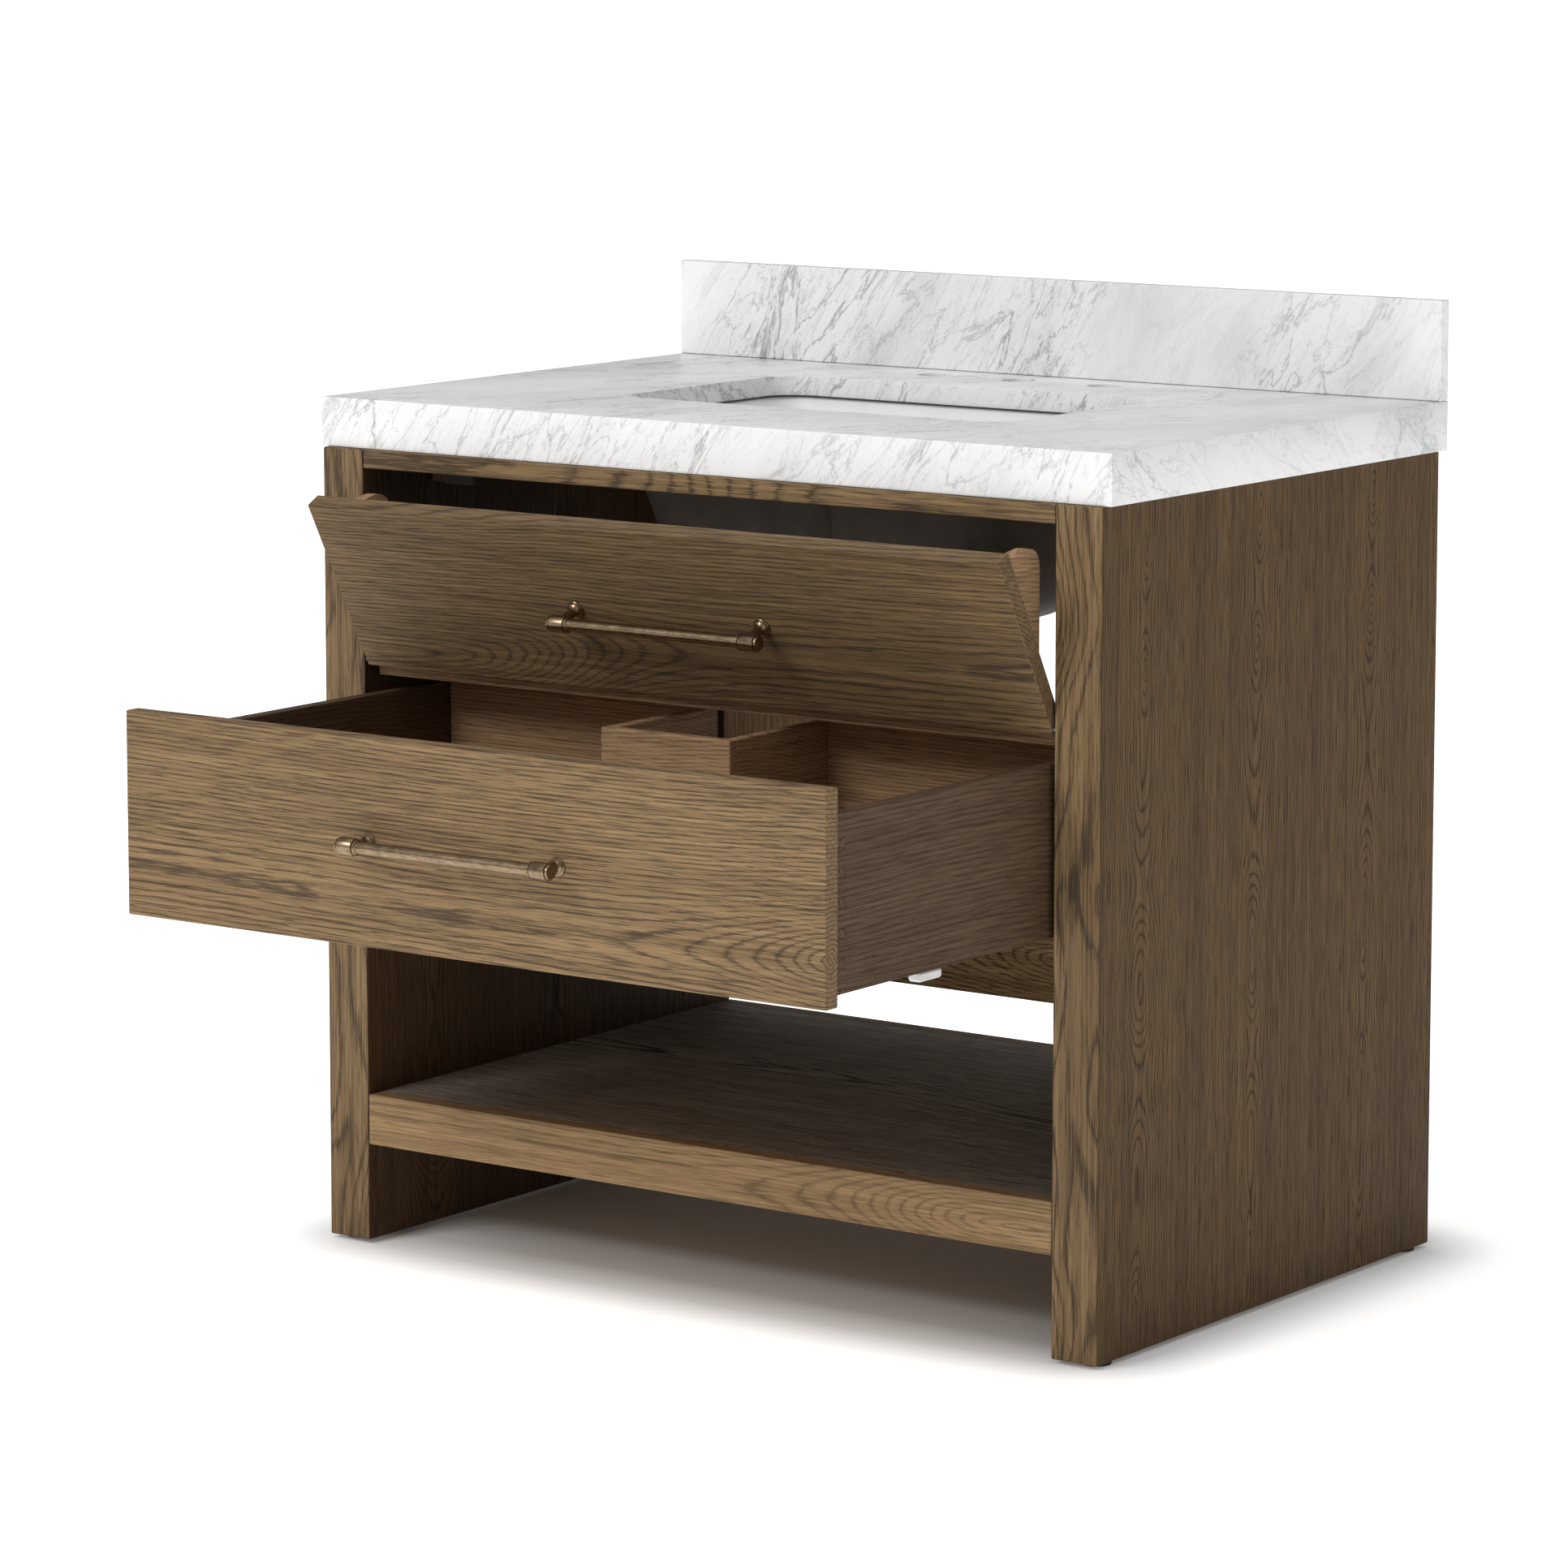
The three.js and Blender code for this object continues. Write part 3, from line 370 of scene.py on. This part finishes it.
def paint_cad():
    """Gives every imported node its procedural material."""
    metal = steel()
    rubber = moulded("black_rubber", (0.012, 0.012, 0.012), (0.022, 0.022, 0.022), 0.7)
    pale = moulded("pale_plastic", (0.55, 0.55, 0.53), (0.66, 0.66, 0.64), 0.45)
    panel = {"sides": PANEL_FACES, "leaf": PANEL_LEAF}
    looks = {
        "drawer_front": front_oak("oak_drawer", "X", 1.3, (0.42, -0.46, 0.425), 1.0),
        # Painted shade: the tip-out's oak is darkened for its downward-leaning face.
        "tipout_front": front_oak("oak_tipout_painted_shade", "X", 4.1, (-0.15, -0.16, 0.60), 1.0, 0.82),
        "side_panel_left": front_oak("oak_left", "Z", 2.2, (-0.43, -0.10, 0.1), 1.0, 0.88, **panel),
        "side_panel_right": front_oak("oak_right", "Z", 6.4, (0.44, 0.06, 0.9), 1.0, 0.92, **panel),
        "top_rail_front": front_oak("oak_rail", "X", 3.7, (0, 0.2, 0.78), 0.6, 1.0),
        # Painted light: the shelf's front edge is lightened where the drawer shades it.
        "shelf_front_edge": front_oak("oak_shelf_edge_painted_light", "X", 5.2, (0.25, -0.09, 0.12), 0.8, 1.25,
                                      contrast=0.6),
        # Painted shade: the shelf's back edge is darkened at the back of the cabinet.
        "shelf_back_edge": front_oak("oak_shelf_back_painted_shade", "X", 7.2, (0, 0.5, 0.12), 0.8, 0.7),
        # Painted light: the rear rail, seen through the open back, is lightened to 2.2 times.
        "rear_rail_lower": front_oak("oak_rear_rail_painted_light", "X", 8.1, (0, 0.48, 0.24), 0.8, 2.2),
        # Painted light: the shelf top's grey oak is lifted where the shelf lies in shade.
        "shelf_top_board": oak("oak_shelf_top_painted_light", "X", GREY_PALE_WITH_PAINTED_LIGHT, GREY_DEEP_WITH_PAINTED_LIGHT, INSIDE_PORE, 2.9, 0.9, 1.2,
                               (0.1, 0.2, 0.1)),
    }
    along_y = inside_oak("oak_inside_y", "Y", 1.1)
    # Painted shade: the drawer sides' dark oak stands in for their shaded side.
    drawer_sides = oak("oak_drawer_sides_painted_shade", "Y", DRAWER_SIDE_PALE_PAINTED_SHADE, DRAWER_SIDE_DEEP_PAINTED_SHADE, INSIDE_PORE, 2.7,
                       contrast=0.7)
    # Painted shade: the drawer box's front is drawn dark inside the shaded drawer.
    drawer_inner_front = oak("oak_drawer_inner_front_painted_shade", "X", DRAWER_INNER_PALE_PAINTED_SHADE, DRAWER_INNER_DEEP_PAINTED_SHADE,
                             INSIDE_PORE, 3.9, contrast=0.7)
    along_x = inside_oak("oak_inside_x", "X", 3.3)
    along_z = inside_oak("oak_inside_z", "Z", 5.5)
    for record in frame["record"]["subparts"]:
        node, group = record["node"], record["material_slot"]
        if node in looks:
            look = looks[node]
        elif node.startswith("drawer_side_"):
            look = drawer_sides
        elif node == "drawer_box_front":
            look = drawer_inner_front
        elif group == "oak_inside":
            runs_back = any(word in node for word in ("_side_", "cleat", "notch_side"))
            look = along_z if node == "back_panel" else along_y if runs_back else along_x
        elif group == "marble":
            look = MARBLE
        elif group == "ceramic":
            look = GLAZE
        elif group == "brass":
            look = BRASS
        else:
            look = {"steel": metal, "plastic": pale, "rubber": rubber}[group]
        set_look(NODES[node], look)
    return metal


def set_look(thing, look):
    thing.data.materials.clear()
    thing.data.materials.append(look)


def soften(thing, width):
    """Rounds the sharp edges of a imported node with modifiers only."""
    weld = thing.modifiers.new("weld", "WELD")
    weld.merge_threshold = 0.00002
    bevel = thing.modifiers.new("bevel", "BEVEL")
    bevel.width = width
    bevel.segments = 2
    bevel.limit_method = "ANGLE"
    bevel.angle_limit = math.radians(25)


# ---------------------------------------------------------------- new pieces
def new_piece(name, verts, faces, look, body, replaced=(), smooth_angle=35):
    mesh = bpy.data.meshes.new(name)
    mesh.from_pydata([tuple(v) for v in verts], [], faces)
    mesh.update()
    return finish_piece(name, mesh, look, body, replaced, smooth_angle)


def finish_piece(name, mesh, look, body, replaced=(), smooth_angle=35):
    work = bmesh.new()
    work.from_mesh(mesh)
    bmesh.ops.recalc_face_normals(work, faces=work.faces)
    work.to_mesh(mesh)
    work.free()
    mesh.shade_smooth()
    mesh.set_sharp_from_angle(angle=math.radians(smooth_angle))
    thing = bpy.data.objects.new(name, mesh)
    bpy.context.scene.collection.objects.link(thing)
    set_look(thing, look)
    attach(thing, body)
    if replaced:
        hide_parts(*replaced)
    return thing


def rings_mesh(rings, wrap=False):
    """Vertices and faces through rings of equally many points, with end caps or, wrapped, as a loop."""
    count = len(rings[0])
    verts = [p for ring in rings for p in ring]
    faces = []
    pairs = list(zip(range(len(rings) - 1), range(1, len(rings))))
    if wrap:
        pairs.append((len(rings) - 1, 0))
    for a, b in pairs:
        for i in range(count):
            j = (i + 1) % count
            faces.append((a * count + i, a * count + j, b * count + j, b * count + i))
    if not wrap:
        faces.append(tuple(reversed(range(count))))
        faces.append(tuple((len(rings) - 1) * count + i for i in range(count)))
    return verts, faces


def turned(profile, matrix, steps):
    """Rings of a shape turned about +Z, from (radius, height) pairs, moved by matrix."""
    rings = []
    for radius, height in profile:
        ring = []
        for i in range(steps):
            a = 2 * math.pi * i / steps
            ring.append(matrix @ Vector((radius * math.cos(a), radius * math.sin(a), height)))
        rings.append(ring)
    return rings_mesh(rings)


def facing(node, direction):
    """A matrix that stands +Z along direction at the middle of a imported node."""
    turn = Vector(direction).to_track_quat("Z", "Y").to_matrix().to_4x4()
    return Matrix.Translation(middle(node)) @ turn


def pull_bar(front):
    """The bar: a drawn rod with a stepped, ringed collar at each end."""
    low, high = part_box(front + "_pull_bar")
    half = (high.x - low.x) / 2
    collar = min(high.y - low.y, high.z - low.z) / 2
    rod = collar - 2.3 * MM
    end = [
        (0, half),
        (collar - 2.4 * MM, half),
        (collar - 1.5 * MM, half - 0.3 * MM),
        (collar - 1.1 * MM, half - 0.9 * MM),
        (collar - 1.1 * MM, half - 2.2 * MM),
        (collar - 1.8 * MM, half - 2.5 * MM),
        (collar - 1.8 * MM, half - 3.0 * MM),
        (collar - 0.5 * MM, half - 3.3 * MM),
        (collar, half - 3.9 * MM),
        (collar, half - 19.2 * MM),
        (collar - 0.4 * MM, half - 19.9 * MM),
        (collar - 1.6 * MM, half - 20.2 * MM),
        (collar - 1.6 * MM, half - 20.9 * MM),
        (collar - 0.8 * MM, half - 21.2 * MM),
        (collar - 0.8 * MM, half - 22.9 * MM),
        (collar - 1.4 * MM, half - 23.5 * MM),
        (rod, half - 23.9 * MM),
    ]
    profile = [(r, -h) for r, h in end] + list(reversed(end))
    verts, faces = turned(profile[1:-1], facing(front + "_pull_bar", (1, 0, 0)), 72)
    return new_piece(f"{front}_bar_turned", verts, faces, BRASS, front, [front + "_pull_bar"])


def pull_post(front, hand, outward):
    """The foot and stem that hold the bar off the front, saddled into the collar."""
    node = f"{front}_pull_post_{hand}"
    bar = middle(front + "_pull_bar")
    here = middle(node)
    low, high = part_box(node)
    radius = (high.x - low.x) / 2
    stem = radius - 4.0 * MM
    # The foot's centre on the face lies behind the bar by the bar's standing height.
    foot = Vector((here.x, bar.y, bar.z)) - outward * PULL_STAND
    reach = PULL_STAND - STEM_END
    profile = [
        (radius - 0.3 * MM, 0),
        (radius, 0.3 * MM),
        (radius, 1.3 * MM),
        (radius - 0.4 * MM, 1.8 * MM),
        (radius - 1.5 * MM, 2.0 * MM),
        (radius - 1.7 * MM, 2.3 * MM),
        (radius - 1.7 * MM, 3.2 * MM),
        (stem + 1.6 * MM, 3.9 * MM),
        (stem + 0.7 * MM, 5.2 * MM),
        (stem + 0.15 * MM, 7.0 * MM),
        (stem, 9.0 * MM),
        (stem, reach),
    ]
    matrix = Matrix.Translation(foot) @ outward.to_track_quat("Z", "Y").to_matrix().to_4x4()
    verts, faces = turned(profile, matrix, 56)
    return new_piece(f"{front}_post_turned_{hand}", verts, faces, BRASS, front, [node])


def pulls():
    """Both pulls; the tip-out's stands square to its leaning front."""
    lean = frame_angle()
    for front, outward in (
        ("drawer", Vector((0, -1, 0))),
        ("tipout", Vector((0, -math.cos(lean), -math.sin(lean)))),
    ):
        pull_bar(front)
        for hand in ("left", "right"):
            pull_post(front, hand, outward)


def frame_angle():
    """How far the tip-out leans at rest, from its joint's range: it shuts at the low limit."""
    hinge = next(j for j in frame["joints"] if j["name"] == "tipout_hinge")
    return math.radians(-hinge["range_deg"][0])


def rounded_ring(half_x, half_y, radius, z, centre, steps=14):
    ring = []
    for corner, (sx, sy) in enumerate(((1, 1), (-1, 1), (-1, -1), (1, -1))):
        for i in range(steps + 1):
            a = (corner + i / steps) * math.pi / 2
            ring.append((
                centre.x + sx * (half_x - radius) + radius * math.cos(a),
                centre.y + sy * (half_y - radius) + radius * math.sin(a),
                z,
            ))
    return ring


def sink_basin():
    """The undermount bowl as one smooth shell with a drain hole and a rolled rim, glazed inside; its outside is
    darker unglazed ceramic with painted shade.
    """
    low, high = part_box("sink_basin")
    centre = (low + high) / 2
    flange, wall, turn = FLANGE, SINK_WALL, SINK_TURN
    half_x = (high.x - low.x) / 2 - flange
    half_y = half_x - SINK_NARROWER
    rim = high.z
    floor = low.z + wall + 1 * MM
    drop = rim - floor
    # The overflow duct stands out in front, so the bowl's middle is measured from the back of the flange.
    centre.y = high.y - flange - half_y

    def wall_ring(grow, level, down=0.0):
        end_inset, inset, radius, z = level
        length, depth = half_x - end_inset + grow, half_y - inset + grow
        return rounded_ring(length, depth, radius + grow, z - down, centre)

    # The ends slope in more than the long walls. Each level: end inset, wall inset, corner radius, height.
    levels = [
        (0.0, 0.0, 36 * MM, rim),
        (16 * MM, 3 * MM, 41 * MM, rim - 0.22 * drop),
        (44 * MM, 9 * MM, 49 * MM, floor + turn + 18 * MM),
    ]
    for i in range(1, 9):
        a = i / 8 * math.pi / 2
        inset = 12 * MM + turn * (1 - math.cos(a))
        end_inset = 58 * MM + 1.6 * turn * (1 - math.cos(a))
        radius = 56 * MM - 4 * MM * i / 8
        height = floor + 3 * MM + turn * (1 - math.sin(a))
        levels.append((end_inset, inset, radius, height))
    drain = DRAIN_RADIUS
    pad = [
        (drain + 30 * MM, floor + 1.2 * MM),
        (drain + 8 * MM, floor + 0.3 * MM),
        (drain + 1 * MM, floor),
        (drain, floor - 1 * MM),
    ]
    seat = [(drain, low.z + 1 * MM), (drain + 1 * MM, low.z), (drain + 26 * MM, low.z)]
    inner = [wall_ring(0, level) for level in levels]
    inner += [rounded_ring(r, r, r, z, centre) for r, z in pad]
    under = [rounded_ring(r, r, r, z, centre) for r, z in seat]
    outer = [wall_ring(wall * 0.9, level, wall * 0.9) for level in reversed(levels[3:])]
    outer += [
        wall_ring(wall, levels[2]),
        wall_ring(wall, levels[1]),
        wall_ring(wall, levels[0], wall + 3 * MM),
        wall_ring(wall + 3 * MM, levels[0], wall),
        wall_ring(flange - 1 * MM, levels[0], wall),
        wall_ring(flange, levels[0], wall - 1 * MM),
        wall_ring(flange, levels[0], 1 * MM),
        wall_ring(flange - 1 * MM, levels[0]),
    ]
    verts, faces = rings_mesh(inner + under + outer, wrap=True)
    bowl = new_piece("sink_bowl_glazed", verts, faces, GLAZE, "cabinet", ["sink_basin"], 60)
    # The outer shell gets the unglazed look, darkened as painted shade under the bowl.
    bowl.data.materials.append(UNGLAZED_WITH_PAINTED_SHADE)
    outside = len(inner) * len(inner[0])
    for face in bowl.data.polygons:
        face.material_index = int(face.index >= outside)
    overflow_channel(centre, half_y + wall, rim - wall, floor)
    return centre, rim


def sealant(centre, rim):
    """The dark bead in the joint between the stone's cut-out and the sink."""
    rings = []
    outer, inner, half_height = 0.6 * MM, -1.1 * MM, 0.9 * MM
    section = ((outer, -half_height), (outer, half_height), (inner, half_height), (inner, -half_height))
    for grow, rise in section:
        size = (CUT_HALF_X + grow, CUT_HALF_Y + grow, CUT_CORNER + grow)
        rings.append(rounded_ring(*size, rim + rise, centre))
    verts, faces = rings_mesh(rings, wrap=True)
    look = moulded("dark_sealant", (0.020, 0.020, 0.020), (0.035, 0.035, 0.034), 0.6)
    new_piece("sink_sealant", verts, faces, look, "cabinet")


def overflow_channel(centre, wall_y, top, floor):
    """The rounded duct on the outside of the bowl's front wall."""
    # Each section: half width and standing depth in millimetres, height, and how far back the wall is there.
    sections = (
        (36, 17, top, 0),
        (36, 17, floor + 62 * MM, 4),
        (34, 15, floor + 46 * MM, 7),
        (26, 8, floor + 28 * MM, 12),
        (20, 3, floor + 16 * MM, 20),
    )
    steps = 24
    rings = []
    for width, stand, z, back in sections:
        ring = []
        for i in range(steps + 1):
            a = math.pi * i / steps
            ring.append((
                centre.x + width * MM * math.cos(a),
                centre.y - wall_y + back * MM - stand * MM * math.sin(a) + 5 * MM,
                z,
            ))
        rings.append(ring)
    verts, faces = rings_mesh(rings)
    # The duct takes the same unglazed look with painted shade under the bowl.
    new_piece("sink_overflow_duct", verts, faces, UNGLAZED_WITH_PAINTED_SHADE, "cabinet", (), 60)


def box_mesh(low, high):
    work = bmesh.new()
    bmesh.ops.create_cube(work, size=1)
    for v in work.verts:
        v.co = Vector((low[i] if v.co[i] < 0 else high[i] for i in range(3)))
    mesh = bpy.data.meshes.new("cutter")
    work.to_mesh(mesh)
    work.free()
    return mesh


def loose(name, mesh):
    thing = bpy.data.objects.new(name, mesh)
    bpy.context.scene.collection.objects.link(thing)
    return thing


def baked(thing):
    """The mesh of an object with its modifiers applied; the object is removed."""
    bpy.context.view_layer.update()
    graph = bpy.context.evaluated_depsgraph_get()
    mesh = bpy.data.meshes.new_from_object(thing.evaluated_get(graph))
    bpy.data.objects.remove(thing)
    return mesh


def countertop(sink_centre):
    """The mitred top as the single block it looks like, with eased arrises and polished cut-outs."""
    low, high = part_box("countertop_slab")
    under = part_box("apron_front")[0].z
    stone = high.z - low.z
    body = loose("stone_body", box_mesh((low.x, low.y, under), high))
    hollow_low = (low.x + stone, low.y + stone, under - stone)
    cutters = [box_mesh(hollow_low, (high.x - stone, high.y - stone, low.z))]
    cut = rounded_ring(CUT_HALF_X, CUT_HALF_Y, CUT_CORNER, low.z - stone, sink_centre)
    top = [(x, y, high.z + stone) for x, y, _ in cut]
    verts, faces = rings_mesh([cut, top])
    bowl = bpy.data.meshes.new("bowl_cut")
    bowl.from_pydata(verts, [], faces)
    cutters.append(bowl)
    tap_y = high.y - TAP_SETBACK
    bore = [(TAP_RADIUS, -stone), (TAP_RADIUS, stone)]
    for x in (-TAP_SPACING, 0.0, TAP_SPACING):
        verts, faces = turned(bore, Matrix.Translation((x, tap_y, high.z - stone / 2)), 48)
        hole = bpy.data.meshes.new("tap_cut")
        hole.from_pydata(verts, [], faces)
        cutters.append(hole)
    helpers = []
    for mesh in cutters:
        work = bmesh.new()
        work.from_mesh(mesh)
        bmesh.ops.recalc_face_normals(work, faces=work.faces)
        work.to_mesh(mesh)
        work.free()
        helper = loose("cutter", mesh)
        helpers.append(helper)
        cutting = body.modifiers.new("cut", "BOOLEAN")
        cutting.operation = "DIFFERENCE"
        cutting.solver = "EXACT"
        cutting.object = helper
    bevel = body.modifiers.new("arris", "BEVEL")
    bevel.width = ARRIS
    bevel.segments = 3
    bevel.limit_method = "ANGLE"
    bevel.angle_limit = math.radians(50)
    mesh = baked(body)
    for helper in helpers:
        bpy.data.objects.remove(helper)
    replaced = ["countertop_slab", "apron_front", "apron_back", "apron_left", "apron_right"]
    return finish_piece("stone_top", mesh, MARBLE, "cabinet", replaced)


def screws(metal):
    """Pan-head screws that hold each pull, seen from inside."""
    lean = frame_angle()
    inward = {"drawer": Vector((0, 1, 0)), "tipout": Vector((0, math.cos(lean), math.sin(lean)))}
    profile = [
        (4.2 * MM, 0),
        (4.2 * MM, 0.6 * MM),
        (3.6 * MM, 1.6 * MM),
        (2.2 * MM, 2.3 * MM),
        (0.9 * MM, 2.5 * MM),
        (0.7 * MM, 1.3 * MM),
    ]
    for front, direction in inward.items():
        bar = middle(front + "_pull_bar")
        for hand in ("left", "right"):
            post = middle(f"{front}_pull_post_{hand}")
            place = Vector((post.x, bar.y, bar.z)) + direction * SCREW_BEHIND[front]
            turn = direction.to_track_quat("Z", "Y").to_matrix().to_4x4()
            verts, faces = turned(profile, Matrix.Translation(place) @ turn, 32)
            new_piece(f"{front}_screw_{hand}", verts, faces, metal, front)


# ---------------------------------------------------------------- scene
def camera():
    """Looks at the vanity from its right front, a little above, as for a product photograph."""
    data = bpy.data.cameras.new("camera")
    data.sensor_width = SENSOR
    data.lens = LENS
    data.shift_y = -0.1
    thing = bpy.data.objects.new("camera", data)
    thing.location = CAMERA_PLACE
    thing.rotation_euler = (math.pi / 2 - CAMERA_PITCH, 0, CAMERA_YAW)
    bpy.context.scene.collection.objects.link(thing)
    bpy.context.scene.camera = thing


def area_light(name, place, target, size, power):
    data = bpy.data.lights.new(name, "AREA")
    data.shape = "RECTANGLE"
    data.size, data.size_y = size
    data.energy = power
    thing = bpy.data.objects.new(name, data)
    thing.location = place
    thing.rotation_euler = (Vector(target) - Vector(place)).to_track_quat("-Z", "Y").to_euler()
    bpy.context.scene.collection.objects.link(thing)


def studio():
    """A pale floor that glows to white away from the vanity, a soft surround and two soft lamps."""
    world = bpy.data.worlds.new("surround")
    world.use_nodes = True
    background = world.node_tree.nodes["Background"]
    background.inputs["Color"].default_value = (1, 1, 1, 1)
    background.inputs["Strength"].default_value = SURROUND_STRENGTH
    bpy.context.scene.world = world
    bpy.context.scene.view_settings.view_transform = "Standard"
    area_light("front_key", (-0.9, -3.3, 2.9), (0, 0, 0.5), (1.6, 1.6), 84)
    area_light("overhead", (0.3, -0.2, 3.0), (0, 0, 0.5), (2.4, 2.4), 16)
    s = Shader("pale_floor")
    # The floor under the vanity does not glow, so the contact shadow stays there.
    place = s.add("ShaderNodeSeparateXYZ")
    s.put(place.inputs[0], s.position)
    beside = s.math("MAXIMUM", s.math("SUBTRACT", s.math("ABSOLUTE", place.outputs["X"]), 0.40), 0.0)
    ahead = s.math("ABSOLUTE", s.math("SUBTRACT", place.outputs["Y"], 0.20))
    ahead = s.math("MAXIMUM", s.math("SUBTRACT", ahead, 0.25), 0.0)
    square = s.math("ADD", s.math("MULTIPLY", beside, beside), s.math("MULTIPLY", ahead, ahead))
    away = s.math("SQRT", square)
    glow = s.ramp(away, [(0.0, 0.0), (0.06, 0.15), (0.13, 0.6), (0.28, 1.0)])
    tone = s.ramp(s.noise(s.position, 3.0, 2.0), [(0.3, (0.78, 0.78, 0.78)), (0.7, (0.80, 0.80, 0.80))])
    s.surface.inputs["Emission Color"].default_value = (1, 1, 1, 1)
    s.put(s.surface.inputs["Emission Strength"], glow)
    look = s.finish(tone, 0.95, Specular_IOR_Level=0.1)
    mesh = bpy.data.meshes.new("floor")
    far = FLOOR_REACH
    mesh.from_pydata([(-far, -far, 0), (far, -far, 0), (far, far, 0), (-far, far, 0)], [], [(0, 1, 2, 3)])
    floor = loose("floor", mesh)
    set_look(floor, look)


camera()
MARBLE = marble()
GLAZE = glaze()
# Unglazed ceramic, its grey darkened as painted shade for the sink's underside.
UNGLAZED_WITH_PAINTED_SHADE = moulded("unglazed_ceramic_painted_shade", (0.40, 0.38, 0.35), (0.48, 0.46, 0.43), 0.7)
BRASS = brass()
METAL = paint_cad()
for name, thing in NODES.items():
    soften(thing, WOOD_EDGE if name.startswith(WOODEN) else OTHER_EDGE)
SINK_CENTRE, SINK_RIM = sink_basin()
sealant(SINK_CENTRE, SINK_RIM)
countertop(SINK_CENTRE)
pulls()
screws(METAL)
studio()
